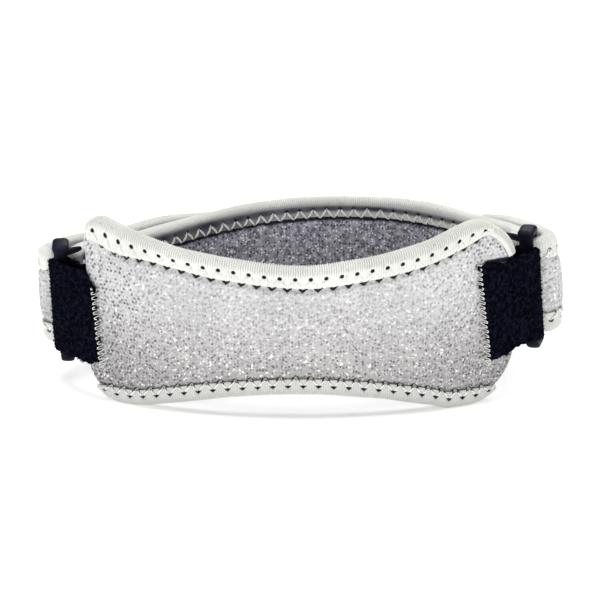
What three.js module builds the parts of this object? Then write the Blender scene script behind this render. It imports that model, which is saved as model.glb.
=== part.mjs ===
// A patellar strap standing as a closed loop: a padded front panel, a band round the back,
// and at each side a plastic ring that a tape loop ties to the panel and the band folds through.
// Millimetres. X runs left to right, Y from the front panel to the back, Z up from the table.
import * as THREE from "three";
import { mergeVertices } from "three/addons/utils/BufferGeometryUtils.js";

const { clamp, degToRad, lerp, smoothstep } = THREE.MathUtils;

// Clearance kept between pieces that touch on the real strap.
const GAP = 0.3;

// The panel's middle surface follows an ellipse in plan; its ends lie at halfLength along it.
// taper draws the lower ends in, as a share of the length.
const PAD_PLAN = { halfWidth: 80, halfDepth: 50, centreY: 7.4, halfSweep: 1.25 };
const PAD = { halfLength: 69.3, halfThickness: 2.0, height: 59, taper: 0.03 };
// Finished edges of the panel, by distance along it from its middle; below zero is pressed flat.
const PAD_SECTIONS = [
  { along: -70, bottom: -0.6, top: 58.2 },
  { along: -64, bottom: -0.6, top: 58.4 },
  { along: -58, bottom: -0.6, top: 56.0 },
  { along: -49, bottom: 0.5, top: 53.3 },
  { along: -38, bottom: 2.7, top: 50.4 },
  { along: -22, bottom: 5.3, top: 48.4 },
  { along: 0, bottom: 6.8, top: 46.4 },
  { along: 20, bottom: 5.4, top: 48.5 },
  { along: 38, bottom: 2.2, top: 52.1 },
  { along: 49, bottom: -0.7, top: 56.2 },
  { along: 57, bottom: -0.6, top: 59.0 },
  { along: 70, bottom: -0.6, top: 59.0 },
];
// The foam swells the panel away from its bound edges and its sewn ends.
const CROWN = { outer: 2.4, inner: 1.2, edgeMargin: 7, edgeRun: 11, endMargin: 14, endRun: 22 };
// The free top corners turn outwards above the tapes.
const CORNER_CURL = { run: 14, fromHeight: 43, toHeight: 60 };

// Binding tape folded over an edge: leg is its width on each face, and endLeg what is left of that
// where the panel's tapes end at its round corners.
const PAD_BINDING = { leg: 4.8, thickness: 0.8, gap: 0.4, endLeg: 2.0 };
const BAND_BINDING = { leg: 5.4, thickness: 0.6, gap: 0.3 };

const BAND = { halfThickness: 1.3, tipCorner: 8 };
// The folds are slack round the posts and bulge before the laps settle on the band; between its
// bound edges the lap bows out, most at bowAt from the fold.
const FOLD_SLACK = { round: 0.5, bulge: 3, reach: 26, bow: 1.8, bowAt: 7, bowRun: 16 };
const RING = { height: 37.2, bar: 2.3, thickness: 4.2, postSpacing: 9.1, corner: 2.6, edge: 0.85 };
const TAPE = { height: 28.6, thickness: 1.4, innerOverlap: 9 };
const HOOK = { thickness: 1.0, fromTip: 6, length: 30, edgeMargin: 7 };

// Left and right differ a little, as the strap stands. reach and tapeAngle place the ring's front
// post from the panel's end; ringAngle is the ring's own direction from the front; lean is how far
// the ring's side leans across, per unit of height; lap is how far the folded end lies back, its
// top edge higher than the band's by lapLift and falling by tipDrop over the last tipRun.
const SIDES = [
  {
    name: "left", hand: -1, topCorner: 10, bottomCorner: 12, curl: 1.6,
    overlap: 7, reach: 13.6, tapeAngle: 50, ringAngle: 88, lean: -0.05,
    lap: 70, lapLift: 0.7, tipDrop: 4.0, tipRun: 32,
    tapeAtPad: 25.0, tapeAtRing: 25.6, ringMiddle: 26.4, foldBottom: 11.6, foldTop: 41.2,
  },
  {
    name: "right", hand: 1, topCorner: 22, bottomCorner: 17, curl: 4.0,
    overlap: 11, reach: 8.8, tapeAngle: 50, ringAngle: 78, lean: -0.085,
    lap: 42, lapLift: 0, tipDrop: 2.4, tipRun: 16,
    tapeAtPad: 26.8, tapeAtRing: 30.2, ringMiddle: 30.8, foldBottom: 16.4, foldTop: 46.2,
  },
];
// The lean begins behind the panel's ends.
const LEAN = { fromY: -21, toY: -15, fromX: -60, toX: 60, pivot: 29 };

// Middle line of the band inside the laps, left ring to right ring, seen from above, with its
// finished edges; below zero is pressed flat.
const BAND_ROWS = [
  { x: -65.2, y: 6.8, bottom: 10.2, top: 39.8 },
  { x: -49.4, y: 17.2, bottom: 6.0, top: 40.1 },
  { x: -28.4, y: 31.2, bottom: 0.6, top: 42.2 },
  { x: -8, y: 41.0, bottom: -1.0, top: 43.6 },
  { x: 12, y: 44.2, bottom: -1.0, top: 44.2 },
  { x: 31, y: 40.6, bottom: -0.2, top: 44.4 },
  { x: 46, y: 32.4, bottom: 4.0, top: 44.0 },
  { x: 59, y: 21.2, bottom: 10.0, top: 43.4 },
  { x: 68, y: 7.6, bottom: 14.6, top: 44.2 },
];

// Mesh fineness.
const STATION_STEP = 6;
const FOLD_STEP = 2.4;
const TAPE_STEP = 1.3;
const CORNER_STEPS = 5;
const END_STEPS = 7;
const CURVE_PARTS = 40;
const WALL_ROWS = { pad: 8, band: 4, tape: 2 };

const FABRIC = { color: 0xc9c9ce, roughness: 0.95, metalness: 0 };
const BINDING = { color: 0xe9e8dc, roughness: 0.85, metalness: 0 };
const PILE = { color: 0x101016, roughness: 1, metalness: 0 };
const PLASTIC = { color: 0x1a1a1d, roughness: 0.45, metalness: 0 };

const group = new THREE.Group();

// Everything behind the panel leans across a little with its ring.
function leanAcross(position) {
  for (let i = 0; i < position.count; i++) {
    const [x, y, z] = [position.getX(i), position.getY(i), position.getZ(i)];
    const rate = lerp(SIDES[0].lean, SIDES[1].lean, smoothstep(x, LEAN.fromX, LEAN.toX));
    position.setX(i, x + rate * (z - LEAN.pivot) * smoothstep(y, LEAN.fromY, LEAN.toY));
  }
}

function addMesh(name, geometry, finish) {
  geometry.deleteAttribute("normal");
  geometry.deleteAttribute("uv");
  leanAcross(geometry.getAttribute("position"));
  const welded = mergeVertices(geometry, 1e-4);
  welded.computeVertexNormals();
  const mesh = new THREE.Mesh(welded, new THREE.MeshStandardMaterial(finish));
  mesh.name = name;
  group.add(mesh);
}

// Reads a column of a table at a distance along it, as a smooth curve through the rows.
function readTable(rows, at, column) {
  const last = rows.length - 1;
  const slope = (i) => {
    const before = rows[Math.max(i - 1, 0)];
    const after = rows[Math.min(i + 1, last)];
    return (after[column] - before[column]) / (after.along - before.along);
  };
  const following = rows.findIndex((row) => row.along > at);
  const i = following < 0 ? last : Math.max(following, 1);
  const [a, b] = [rows[i - 1], rows[i]];
  const span = b.along - a.along;
  const t = clamp((at - a.along) / span, 0, 1);
  const rise = t * t * (3 - 2 * t);
  const lead = t * (1 - t) * (1 - t) * slope(i - 1) * span;
  const trail = t * t * (t - 1) * slope(i) * span;
  return a[column] + (b[column] - a[column]) * rise + lead + trail;
}

// How far a round corner takes an edge in, at a distance from the strip's end.
function cornerInset(distance, radius) {
  if (distance >= radius) {
    return 0;
  }
  const across = radius - Math.max(distance, 0);
  return radius - Math.sqrt(radius * radius - across * across);
}

// A smooth plan curve through rows with x and y; each row learns its distance along it.
function planCurve(rows) {
  const curve = new THREE.CatmullRomCurve3(rows.map((row) => new THREE.Vector3(row.x, row.y, 0)));
  curve.arcLengthDivisions = CURVE_PARTS * (rows.length - 1);
  const lengths = curve.getLengths();
  rows.forEach((row, i) => {
    row.along = lengths[i * CURVE_PARTS];
  });
  return curve;
}

// A place beside a plan curve, square to it, straight on past its ends.
function besideCurve(curve, along, height, offset) {
  const length = curve.getLength();
  const t = clamp(along / length, 0, 1);
  const point = curve.getPointAt(t);
  const tangent = curve.getTangentAt(t);
  const past = along - t * length;
  return new THREE.Vector3(
    point.x + tangent.x * past + tangent.y * offset,
    point.y + tangent.y * past - tangent.x * offset,
    height,
  );
}

// A strip is a wall bent along a plan curve. It has place(along, height, offset), with the offset
// square to the wall, half(along, height, face), its half thickness on a face, and outline(inset),
// its stations and edges drawn in by an inset.

// Stations along a strip: close together at its round corners and evenly between the marks, whose
// step is the spacing on the way to them.
function stationsBetween(start, end, corner, marks) {
  const turns = Array.from({ length: CORNER_STEPS + 1 }, (_, i) => (i * Math.PI) / 2 / CORNER_STEPS);
  const ease = turns.map((turn) => corner * (1 - Math.cos(turn)));
  const stations = ease.map((d) => start + d);
  const inner = marks.filter((mark) => mark.along > start + corner && mark.along < end - corner);
  const stops = [{ along: start + corner }, ...inner, { along: end - corner, step: STATION_STEP }];
  stops.slice(1).forEach((stop, i) => {
    const from = stops[i];
    const count = Math.max(1, Math.round((stop.along - from.along) / stop.step));
    for (let k = 1; k <= count; k++) {
      stations.push(lerp(from.along, stop.along, k / count));
    }
  });
  ease.slice(0, -1).reverse().forEach((d) => stations.push(end - d));
  return stations;
}

// Height of a wall's row: the first and last rows lie at the binding's edge, the rest evenly between.
function rowHeight(bottom, top, row, rows, leg) {
  if (leg === 0 || row === 0 || row === rows) {
    return lerp(bottom, top, row / rows);
  }
  return lerp(bottom + leg, top - leg, (row - 1) / (rows - 2));
}

// A closed wall between the strip's edges, drawn in under its binding if it has one.
function wallGeometry(strip, rows, binding) {
  const inset = binding ? binding.gap + binding.thickness : 0;
  const leg = binding ? binding.leg : 0;
  const edges = strip.outline(inset);
  const columns = edges.stations.length - 1;
  const box = new THREE.BoxGeometry(1, 1, 1, columns, rows, 1);
  const position = box.getAttribute("position");
  for (let i = 0; i < position.count; i++) {
    const along = edges.stations[Math.round((position.getX(i) + 0.5) * columns)];
    const [bottom, top] = edges.at(along);
    const row = Math.round((position.getY(i) + 0.5) * rows);
    const height = rowHeight(bottom, top, row, rows, leg);
    const face = Math.sign(position.getZ(i));
    const spot = strip.place(along, height, face * strip.half(along, height, face));
    position.setXYZ(i, spot.x, spot.y, spot.z);
  }
  return box;
}

// The strip's whole edge as a ring of points: top, last end, bottom, first end.
function rimPoints(edges) {
  const first = edges.stations[0];
  const last = edges.stations[edges.stations.length - 1];
  const [firstBottom, firstTop] = edges.at(first);
  const [lastBottom, lastTop] = edges.at(last);
  const fractions = Array.from({ length: END_STEPS - 1 }, (_, i) => (i + 1) / END_STEPS);
  return [
    ...edges.stations.map((along) => new THREE.Vector2(along, edges.at(along)[1])),
    ...fractions.map((t) => new THREE.Vector2(last, lerp(lastTop, lastBottom, t))),
    ...edges.stations.map((along) => new THREE.Vector2(along, edges.at(along)[0])).reverse(),
    ...fractions.map((t) => new THREE.Vector2(first, lerp(firstBottom, firstTop, t))),
  ];
}

// The U section of a folded tape: how far in from the wall's edge, and how far off its middle.
function foldedSection(strip, binding) {
  const hem = binding.gap + binding.thickness;
  const inside = strip.edgeHalf + binding.gap;
  const outside = inside + binding.thickness;
  const nose = outside * 0.6;
  return [
    [binding.leg, -outside], [binding.leg, -inside], [-binding.gap, -inside], [-binding.gap, inside],
    [binding.leg, inside], [binding.leg, outside], [0, outside], [-hem, nose], [-hem, -nose], [0, -outside],
  ];
}

// A tape folded over the strip's whole edge: the U section carried round the rim.
function bindingGeometry(strip, binding) {
  const rim = rimPoints(strip.outline(binding.gap + binding.thickness));
  const section = foldedSection(strip, binding);
  const ring = new THREE.TorusGeometry(2, 1, section.length, rim.length);
  const position = ring.getAttribute("position");
  const uv = ring.getAttribute("uv");
  for (let i = 0; i < position.count; i++) {
    const k = Math.round(uv.getX(i) * rim.length) % rim.length;
    const [inward, offset] = section[Math.round(uv.getY(i) * section.length) % section.length];
    const before = rim[(k + rim.length - 1) % rim.length];
    const after = rim[(k + 1) % rim.length];
    const way = after.clone().sub(before).normalize();
    const spot = strip.place(rim[k].x + way.y * inward, rim[k].y - way.x * inward, offset);
    position.setXYZ(i, spot.x, spot.y, spot.z);
  }
  return ring;
}

// A tape folded over one long edge, 0 for the bottom and 1 for the top: the U section carried along
// it. At a round corner the fold follows the edge while the legs' ends keep straight on.
function edgeTapeGeometry(strip, binding, edge) {
  const hem = binding.gap + binding.thickness;
  const [fold, wall] = [strip.outline(0), strip.outline(hem)];
  const towardsMiddle = edge === 0 ? 1 : -1;
  const heightAt = (along, inward) => {
    const wallEdge = wall.at(along)[edge];
    const legEnd = strip.straightEdges(along)[edge] + towardsMiddle * (hem + binding.leg);
    return inward < 0
      ? lerp(wallEdge, fold.at(along)[edge], -inward / hem)
      : lerp(wallEdge, legEnd, inward / binding.leg);
  };
  const [start, end] = strip.tapeEnds(edge, binding.leg - binding.endLeg);
  const between = wall.stations.filter((along) => along > start + GAP && along < end - GAP);
  const stations = edge === 0 ? [start, ...between, end] : [end, ...between.reverse(), start];
  const section = foldedSection(strip, binding).map(([x, y]) => new THREE.Vector2(x, y));
  const steps = stations.length - 1;
  const tape = new THREE.ExtrudeGeometry(new THREE.Shape(section), { depth: 1, steps, bevelEnabled: false });
  const position = tape.getAttribute("position");
  for (let i = 0; i < position.count; i++) {
    const along = stations[Math.round(position.getZ(i) * steps)];
    const spot = strip.place(along, heightAt(along, position.getX(i)), position.getY(i));
    position.setXYZ(i, spot.x, spot.y, spot.z);
  }
  return tape;
}

function padStrip() {
  const front = -Math.PI / 2;
  const curve = new THREE.EllipseCurve(
    0, PAD_PLAN.centreY, PAD_PLAN.halfWidth, PAD_PLAN.halfDepth,
    front - PAD_PLAN.halfSweep, front + PAD_PLAN.halfSweep,
  );
  curve.arcLengthDivisions = 800;
  const middle = curve.getLength() / 2;
  const sideAt = (along) => (along < 0 ? SIDES[0] : SIDES[1]);
  const straightEdges = (along) => [
    Math.max(readTable(PAD_SECTIONS, along, "bottom"), 0), readTable(PAD_SECTIONS, along, "top"),
  ];
  const edgesAt = (along, inset) => {
    const distance = PAD.halfLength - Math.abs(along);
    const [bottom, top] = straightEdges(along);
    const side = sideAt(along);
    return [
      bottom + inset + cornerInset(distance, side.bottomCorner),
      top - inset - cornerInset(distance, side.topCorner),
    ];
  };
  // Where the edge has come in by a drop at each round corner.
  const tapeEnds = (edge, drop) => SIDES.map((side) => {
    const corner = edge === 0 ? side.bottomCorner : side.topCorner;
    return side.hand * (PAD.halfLength - cornerInset(drop, corner));
  });
  const curlOut = (along, height) => {
    const end = smoothstep(Math.abs(along), PAD.halfLength - CORNER_CURL.run, PAD.halfLength);
    return sideAt(along).curl * end * smoothstep(height, CORNER_CURL.fromHeight, CORNER_CURL.toHeight);
  };
  const half = (along, height, face) => {
    const [bottom, top] = edgesAt(along, 0);
    const fromEdge = Math.min(height - bottom, top - height);
    const fromEnd = PAD.halfLength - Math.abs(along);
    const swell = smoothstep(fromEdge, CROWN.edgeMargin, CROWN.edgeMargin + CROWN.edgeRun) *
      smoothstep(fromEnd, CROWN.endMargin, CROWN.endMargin + CROWN.endRun);
    return PAD.halfThickness + swell * (face > 0 ? CROWN.outer : CROWN.inner);
  };
  const place = (along, height, offset) => {
    const drawnIn = along * (1 - PAD.taper * (1 - height / PAD.height));
    return besideCurve(curve, drawnIn + middle, height, offset + curlOut(along, height));
  };
  const corner = Math.max(...SIDES.map((side) => side.bottomCorner));
  const stations = stationsBetween(-PAD.halfLength, PAD.halfLength, corner, []);
  const outline = (inset) => ({ stations, at: (along) => edgesAt(along, inset) });
  return { edgeHalf: PAD.halfThickness, half, place, outline, straightEdges, tapeEnds };
}

// The ring's posts and directions for one side, in plan.
function ringFrame(side, pad) {
  const end = pad.place(side.hand * PAD.halfLength, side.tapeAtPad, 0);
  const tapeAngle = degToRad(side.tapeAngle);
  const ringAngle = degToRad(side.ringAngle);
  const frontPost = new THREE.Vector2(
    end.x + side.hand * side.reach * Math.cos(tapeAngle),
    end.y + side.reach * Math.sin(tapeAngle),
  );
  const back = new THREE.Vector2(side.hand * Math.cos(ringAngle), Math.sin(ringAngle));
  const out = new THREE.Vector2(side.hand * back.y, -side.hand * back.x);
  const rearPost = frontPost.clone().addScaledVector(back, RING.postSpacing);
  return { frontPost, rearPost, back, out };
}

// Points of a half turn round a post, from its outer side by its front or back to its inner side.
function turnRound(post, frame, outRadius, backRadius) {
  return [0, 45, 90, 135, 180].map((degrees) => {
    const turn = degToRad(degrees);
    return post.clone()
      .addScaledVector(frame.out, outRadius * Math.cos(turn))
      .addScaledVector(frame.back, backRadius * Math.sin(turn));
  });
}

function roundedRectangle(path, x, y, radius) {
  path.moveTo(-x + radius, -y);
  path.absarc(x - radius, -y + radius, radius, -Math.PI / 2, 0);
  path.absarc(x - radius, y - radius, radius, 0, Math.PI / 2);
  path.absarc(-x + radius, y - radius, radius, Math.PI / 2, Math.PI);
  path.absarc(-x + radius, -y + radius, radius, Math.PI, Math.PI * 1.5);
  return path;
}

function ringGeometry(side, frame) {
  const halfWidth = (RING.postSpacing + RING.bar) / 2;
  const halfHeight = RING.height / 2;
  const edge = RING.edge;
  const shape = roundedRectangle(
    new THREE.Shape(), halfWidth - edge, halfHeight - edge, RING.corner - edge,
  );
  shape.holes.push(roundedRectangle(
    new THREE.Path(), halfWidth - RING.bar + edge, halfHeight - RING.bar + edge, RING.corner / 2,
  ));
  const depth = RING.thickness - 2 * edge;
  const geometry = new THREE.ExtrudeGeometry(shape, {
    depth, curveSegments: 3, bevelEnabled: true, bevelThickness: edge, bevelSize: edge, bevelSegments: 1,
  });
  geometry.translate(0, 0, -depth / 2);
  const along = new THREE.Vector3(frame.back.x, frame.back.y, 0);
  const up = new THREE.Vector3(0, 0, 1);
  geometry.applyMatrix4(new THREE.Matrix4().makeBasis(along, up, along.clone().cross(up)));
  const middle = frame.frontPost.clone().lerp(frame.rearPost, 0.5);
  return geometry.translate(middle.x, middle.y, side.ringMiddle);
}

// The tape runs from the panel's outer face, round the ring's front post, to its inner face.
function tapeStrip(side, frame, pad) {
  const onPad = pad.edgeHalf + GAP + TAPE.thickness / 2;
  const onFace = (fromEnd, face) =>
    pad.place(side.hand * (PAD.halfLength - fromEnd), side.tapeAtPad, face * onPad);
  const wrap = turnRound(
    frame.frontPost, frame,
    RING.thickness / 2 + GAP + TAPE.thickness / 2, RING.bar / 2 + GAP + TAPE.thickness / 2,
  );
  const rows = [
    ...[side.overlap, side.overlap / 2, 0].map((fromEnd) => onFace(fromEnd, 1)),
    ...wrap,
    ...[0, TAPE.innerOverlap / 2, TAPE.innerOverlap].map((fromEnd) => onFace(fromEnd, -1)),
  ].map((spot, i) => ({
    x: spot.x,
    y: spot.y,
    middle: i < 3 || i > 7 ? side.tapeAtPad : side.tapeAtRing,
    step: i > 3 && i < 8 ? TAPE_STEP : STATION_STEP,
  }));
  const route = side.hand > 0 ? rows : rows.reverse();
  const curve = planCurve(route);
  const length = curve.getLength();
  const middleAt = (along) => readTable(route, along, "middle");
  return {
    half: () => TAPE.thickness / 2,
    place: (along, height, offset) => besideCurve(curve, along, height, offset),
    outline: () => ({
      stations: stationsBetween(0, length, 0, route),
      at: (along) => [middleAt(along) - TAPE.height / 2, middleAt(along) + TAPE.height / 2],
    }),
  };
}

// The band from its left tip, round the left ring, along the back, round the right ring to its
// right tip. The laps lie outside the band, with the hook tape between.
function bandStrip(frames) {
  const finishedHalf = BAND.halfThickness + BAND_BINDING.gap + BAND_BINDING.thickness;
  const lapOffset = 2 * finishedHalf + HOOK.thickness + 2 * GAP;
  const foldRows = (side) => {
    const frame = frames[side.name];
    const outRadius = RING.thickness / 2 + FOLD_SLACK.round + finishedHalf;
    const backRadius = RING.bar / 2 + FOLD_SLACK.round + finishedHalf;
    return turnRound(frame.rearPost, frame, outRadius, -backRadius).map((spot) => ({
      x: spot.x, y: spot.y, bottom: side.foldBottom, top: side.foldTop, step: FOLD_STEP,
    }));
  };
  const [leftFold, rightFold] = SIDES.map(foldRows);
  const straightRows = BAND_ROWS.map((row) => ({ ...row, step: STATION_STEP }));
  const inner = [leftFold[4], ...straightRows, rightFold[4]];
  const innerCurve = planCurve(inner);
  const innerLength = innerCurve.getLength();
  const lapRows = (side) => {
    const count = Math.round(side.lap / 14);
    return Array.from({ length: count }, (_, i) => {
      const fromRing = (side.lap * (i + 0.7)) / (count - 0.3);
      const along = side.hand < 0 ? fromRing : innerLength - fromRing;
      const bulge = FOLD_SLACK.bulge * (1 - smoothstep(fromRing, 0, FOLD_SLACK.reach));
      const spot = besideCurve(innerCurve, along, 0, -lapOffset - bulge);
      const bottom = readTable(inner, along, "bottom");
      const rise = side.lapLift * smoothstep(fromRing, 0, FOLD_SLACK.reach) -
        side.tipDrop * smoothstep(fromRing, side.lap - side.tipRun, side.lap);
      const top = readTable(inner, along, "top") + rise;
      return { x: spot.x, y: spot.y, bottom, top, step: STATION_STEP };
    });
  };
  const [leftLap, rightLap] = SIDES.map(lapRows);
  const rows = [
    ...leftLap.reverse(), ...leftFold, ...straightRows, ...rightFold.reverse(), ...rightLap,
  ];
  const curve = planCurve(rows);
  const length = curve.getLength();
  const edgesAt = (along, inset) => {
    const corner = cornerInset(Math.min(along, length - along) - inset, BAND.tipCorner - inset);
    const bottom = Math.max(readTable(rows, along, "bottom"), 0);
    return [bottom + inset + corner, readTable(rows, along, "top") - inset - corner];
  };
  const leftFoldAt = leftFold[0].along;
  const rightFoldAt = rightFold[4].along;
  const bowOut = (along, height) => {
    const intoLap = along < length / 2 ? leftFoldAt - along : along - rightFoldAt;
    const off = (intoLap - FOLD_SLACK.bowAt) / FOLD_SLACK.bowRun;
    if (Math.abs(off) > 1) {
      return 0;
    }
    const [bottom, top] = edgesAt(along, 0);
    const across = clamp((2 * height - bottom - top) / (top - bottom), -1, 1);
    return FOLD_SLACK.bow * (1 - across * across) * (1 - off * off) * (1 - off * off);
  };
  return {
    length,
    finishedHalf,
    edgeHalf: BAND.halfThickness,
    half: () => BAND.halfThickness,
    place: (along, height, offset) => besideCurve(curve, along, height, offset + bowOut(along, height)),
    outline: (inset) => ({
      stations: stationsBetween(inset, length - inset, BAND.tipCorner - inset, rows),
      at: (along) => edgesAt(along, inset),
    }),
  };
}

// The hook tape lies on the folded end's inner side, facing the band.
function hookStrip(band, side) {
  const middle = band.finishedHalf + GAP + HOOK.thickness / 2;
  const start = side.hand < 0 ? HOOK.fromTip : band.length - HOOK.fromTip - HOOK.length;
  const edges = band.outline(HOOK.edgeMargin);
  return {
    half: () => HOOK.thickness / 2,
    place: (along, height, offset) => band.place(along, height, offset - middle),
    outline: () => ({ stations: stationsBetween(start, start + HOOK.length, 0, []), at: edges.at }),
  };
}

const pad = padStrip();
addMesh("front_pad", wallGeometry(pad, WALL_ROWS.pad, PAD_BINDING), FABRIC);
addMesh("pad_bottom_binding", edgeTapeGeometry(pad, PAD_BINDING, 0), BINDING);
addMesh("pad_top_binding", edgeTapeGeometry(pad, PAD_BINDING, 1), BINDING);

const frames = Object.fromEntries(SIDES.map((side) => [side.name, ringFrame(side, pad)]));
const band = bandStrip(frames);
addMesh("back_band", wallGeometry(band, WALL_ROWS.band, BAND_BINDING), FABRIC);
addMesh("band_binding", bindingGeometry(band, BAND_BINDING), BINDING);

SIDES.forEach((side) => {
  const frame = frames[side.name];
  addMesh(`${side.name}_ring`, ringGeometry(side, frame), PLASTIC);
  addMesh(`${side.name}_tape_loop`, wallGeometry(tapeStrip(side, frame, pad), WALL_ROWS.tape), PILE);
  addMesh(`${side.name}_hook_strip`, wallGeometry(hookStrip(band, side), WALL_ROWS.tape), PILE);
});

export default group;
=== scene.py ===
# The patellar strap dressed for looks: knitted foam panel and band, ribbed edge tape with zigzag
# stitching, loop-pile tape ties and moulded rings, on a pale floor in soft light.
import math
from types import SimpleNamespace as Values

import bmesh
import bpy
import numpy as np
from mathutils import Matrix, Vector


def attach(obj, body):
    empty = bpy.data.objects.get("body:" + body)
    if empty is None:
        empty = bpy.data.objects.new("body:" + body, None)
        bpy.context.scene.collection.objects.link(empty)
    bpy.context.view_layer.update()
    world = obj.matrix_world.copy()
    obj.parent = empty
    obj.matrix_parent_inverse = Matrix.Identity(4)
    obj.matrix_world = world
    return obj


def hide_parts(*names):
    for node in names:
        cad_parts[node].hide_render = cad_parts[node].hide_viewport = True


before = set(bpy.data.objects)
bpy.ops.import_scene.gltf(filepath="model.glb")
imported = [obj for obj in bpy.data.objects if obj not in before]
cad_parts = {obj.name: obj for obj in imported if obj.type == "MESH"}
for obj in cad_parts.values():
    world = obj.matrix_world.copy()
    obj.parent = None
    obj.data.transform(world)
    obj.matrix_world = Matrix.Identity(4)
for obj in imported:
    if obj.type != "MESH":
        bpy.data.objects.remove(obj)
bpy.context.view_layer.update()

# The strap's sizes below are in millimetres, as its source has them; meshes are in metres.
MM = 0.001
GAP = 0.3

# Camera: the photograph's angle, with the picture's middle on TARGET.
TARGET = Vector((-0.303, -20.45, 29.26)) * MM
ELEVATION = math.radians(17)
DISTANCE = 1.1
SENSOR_WIDTH = 36
PICTURE_WIDTH = 600
MM_PER_PIXEL = 0.303

PAD_PLAN = Values(half_width=80, half_depth=50, centre_y=7.4, half_sweep=1.25)
PAD = Values(half_length=69.3, half=2.0, height=59, taper=0.03)
# Finished edges of the panel by distance along it from its middle: along, bottom, top.
PAD_SECTIONS = np.array([
    (-70, -0.6, 58.2), (-64, -0.6, 58.4), (-58, -0.6, 56.0), (-49, 0.5, 53.3),
    (-38, 2.7, 50.4), (-22, 5.3, 48.4), (0, 6.8, 46.4), (20, 5.4, 48.5),
    (38, 2.2, 52.1), (49, -0.7, 56.2), (57, -0.6, 59.0), (70, -0.6, 59.0),
])
CROWN = Values(outer=2.4, inner=1.2, edge_margin=7, edge_run=11, end_margin=14, end_run=22)
CORNER_CURL = Values(run=14, low=43, high=60)

# Edge tapes. needle_row is the zigzag's outer row by its distance in from the wall's edge, vee how
# far a stitch draws its needle hole out, pull how far it draws in the cloth beyond the tape,
# ribbing how far the ribs show on the tape's legs, rib_parts a rib's mesh columns, section the mesh
# rows on a leg and on the fold, and wider how much wider the tape is, by distance along the panel.
PAD_HEM = 1.2
PAD_TAPES = [
    Values(
        name="bottom", leg=4.1, hem=PAD_HEM, gap=0.4, needle_row=1.8, end_drop=2.8,
        vee=0.5, pull=0.5, ribbing=1.0, rib_parts=4, section=(13, 10),
        wider=np.array([(-70, -0.5), (-50, -0.2), (-30, 0), (70, 0)]),
    ),
    Values(
        name="top", leg=4.8, hem=PAD_HEM, gap=0.4, needle_row=2.1, end_drop=2.8,
        vee=0.1, pull=1.1, ribbing=0.3, rib_parts=4, section=(13, 10),
        wider=np.array([
            (-70, 2.5), (-58, 2.2), (-52, 1.3), (-47, 0.2),
            (-42, -0.5), (-36, -0.6), (-26, 0), (70, 0),
        ]),
    ),
]
# The corner's rim has no stitches, so its needle row and its pulls lie far off it.
UNSEWN = 40
CORNER_TAPE = Values(
    leg=2.4, hem=1.0, gap=0.3, needle_row=UNSEWN, vee=0, pull=UNSEWN, ribbing=0.3,
    rib_parts=4, section=(7, 8), overlap=0.5,
)
BAND_BINDING = Values(
    leg=5.4, hem=0.9, gap=0.3, needle_row=2.9, vee=0.1, pull=0.9, ribbing=0.4,
    rib_parts=3, section=(9, 7),
)
# Past a tape's ends the cloth counts as clear of it, more and more over a short run.
PAST_TAPE = Values(clear=9, run=1.5)
# A folded tape: where its legs turn into the fold, how far they are pressed down, the fold's
# squareness, its lining, and the relief and shading of its ribs, holes and stitches.
TAPE_FORM = Values(
    shoulder=1.4, press=0.3, squareness=2 / 2.3, lining_turn=0.6, lining_share=0.8,
    row_width=1.3, row_depth=0.14, billow=0.16, uneven=0.35, patch=(9, 6), fold_run=(0.2, 1.6),
    rib_on_leg=0.05, rib_on_fold=0.2, hole_depth=0.22, hole_shade=1.3, hole_flattened=0.35,
    end_run=(0.8, 1.6), pull_shade=0.7,
)
# Inside the loop the band's tape gets painted shade above its stitches, lighter to the right:
# above and below are distances past the needle row, shallow is a share of the loop.
TAPE_SHADE = Values(
    least=0.86, patch=3.1, above=(-2.1, -0.5), wider_left=0.6, below=(0.2, 1.2),
    lighter_below=0.12, lighter_right=0.68, shallow=(0.3, 0.62), from_fold=(4, 14),
)
BAND = Values(half=1.3, tip_corner=8)
FOLD_SLACK = Values(round=0.5, bulge=3, reach=26, bow=1.8, bow_at=7, bow_run=16)
# The laps are drawn through points about this far apart.
LAP_STEP = 14
RING = Values(
    height=37.2, bar=2.3, thickness=4.2, spacing=9.1, corner=2.6, top_swell=0.2, swell_run=1.5,
    squareness=2 / 3.0, corner_steps=9, sides=28,
)
ARM = Values(
    length=7.5, inwards=0.8, back=0.6, drop=2.6, rise=0.6, radius=1.1, steps=13, tip=0.93, sides=12,
)
TAPE = Values(
    height=28.6, half=0.7, inner_overlap=9, fray=0.9, tooth=0.75, fray_run=(0.4, 2), shear_run=16,
    relief=0.25, patch=(1.7, 1.5),
)
HOOK = Values(half=0.5, from_tip=6, length=30, margin=7, knob=0.12, sunk=0.1, knob_pitch=(1.6, 1.4))

LEFT = Values(
    name="left", hand=-1, top_corner=10, bottom_corner=12, curl=1.6, overlap=7, reach=13.6,
    tape_angle=50, ring_angle=88, lean=-0.05, lap=70, lap_lift=0.7, tip_drop=4.0, tip_run=32,
    tape_at_pad=25.0, tape_at_ring=25.6, ring_middle=25.4, fold_bottom=11.6, fold_top=41.2,
    spare_stitches=2, trim=1.8, shear=0.08, top_cut=4.0, bottom_cut=1.6, cut_run=3.6,
)
RIGHT = Values(
    name="right", hand=1, top_corner=22, bottom_corner=17, curl=4.0, overlap=11, reach=8.8,
    tape_angle=50, ring_angle=78, lean=-0.085, lap=42, lap_lift=0, tip_drop=2.4, tip_run=16,
    tape_at_pad=26.8, tape_at_ring=30.2, ring_middle=30.8, fold_bottom=16.4, fold_top=46.2,
    spare_stitches=0, trim=-1.6, shear=0.15, top_cut=-3.3, bottom_cut=0.8, cut_run=11,
)
# Above the right tie the panel has a slight dent with painted shadow where the tie stands off it, and
# its corner's rim ends over that line.
TIE_SHADOW = Values(height=44.05, width=0.75, from_end=(14, 11.5), rim_end=46)
LEAN = Values(from_y=-21, to_y=-15, from_x=-60, to_x=60, pivot=29)

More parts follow.
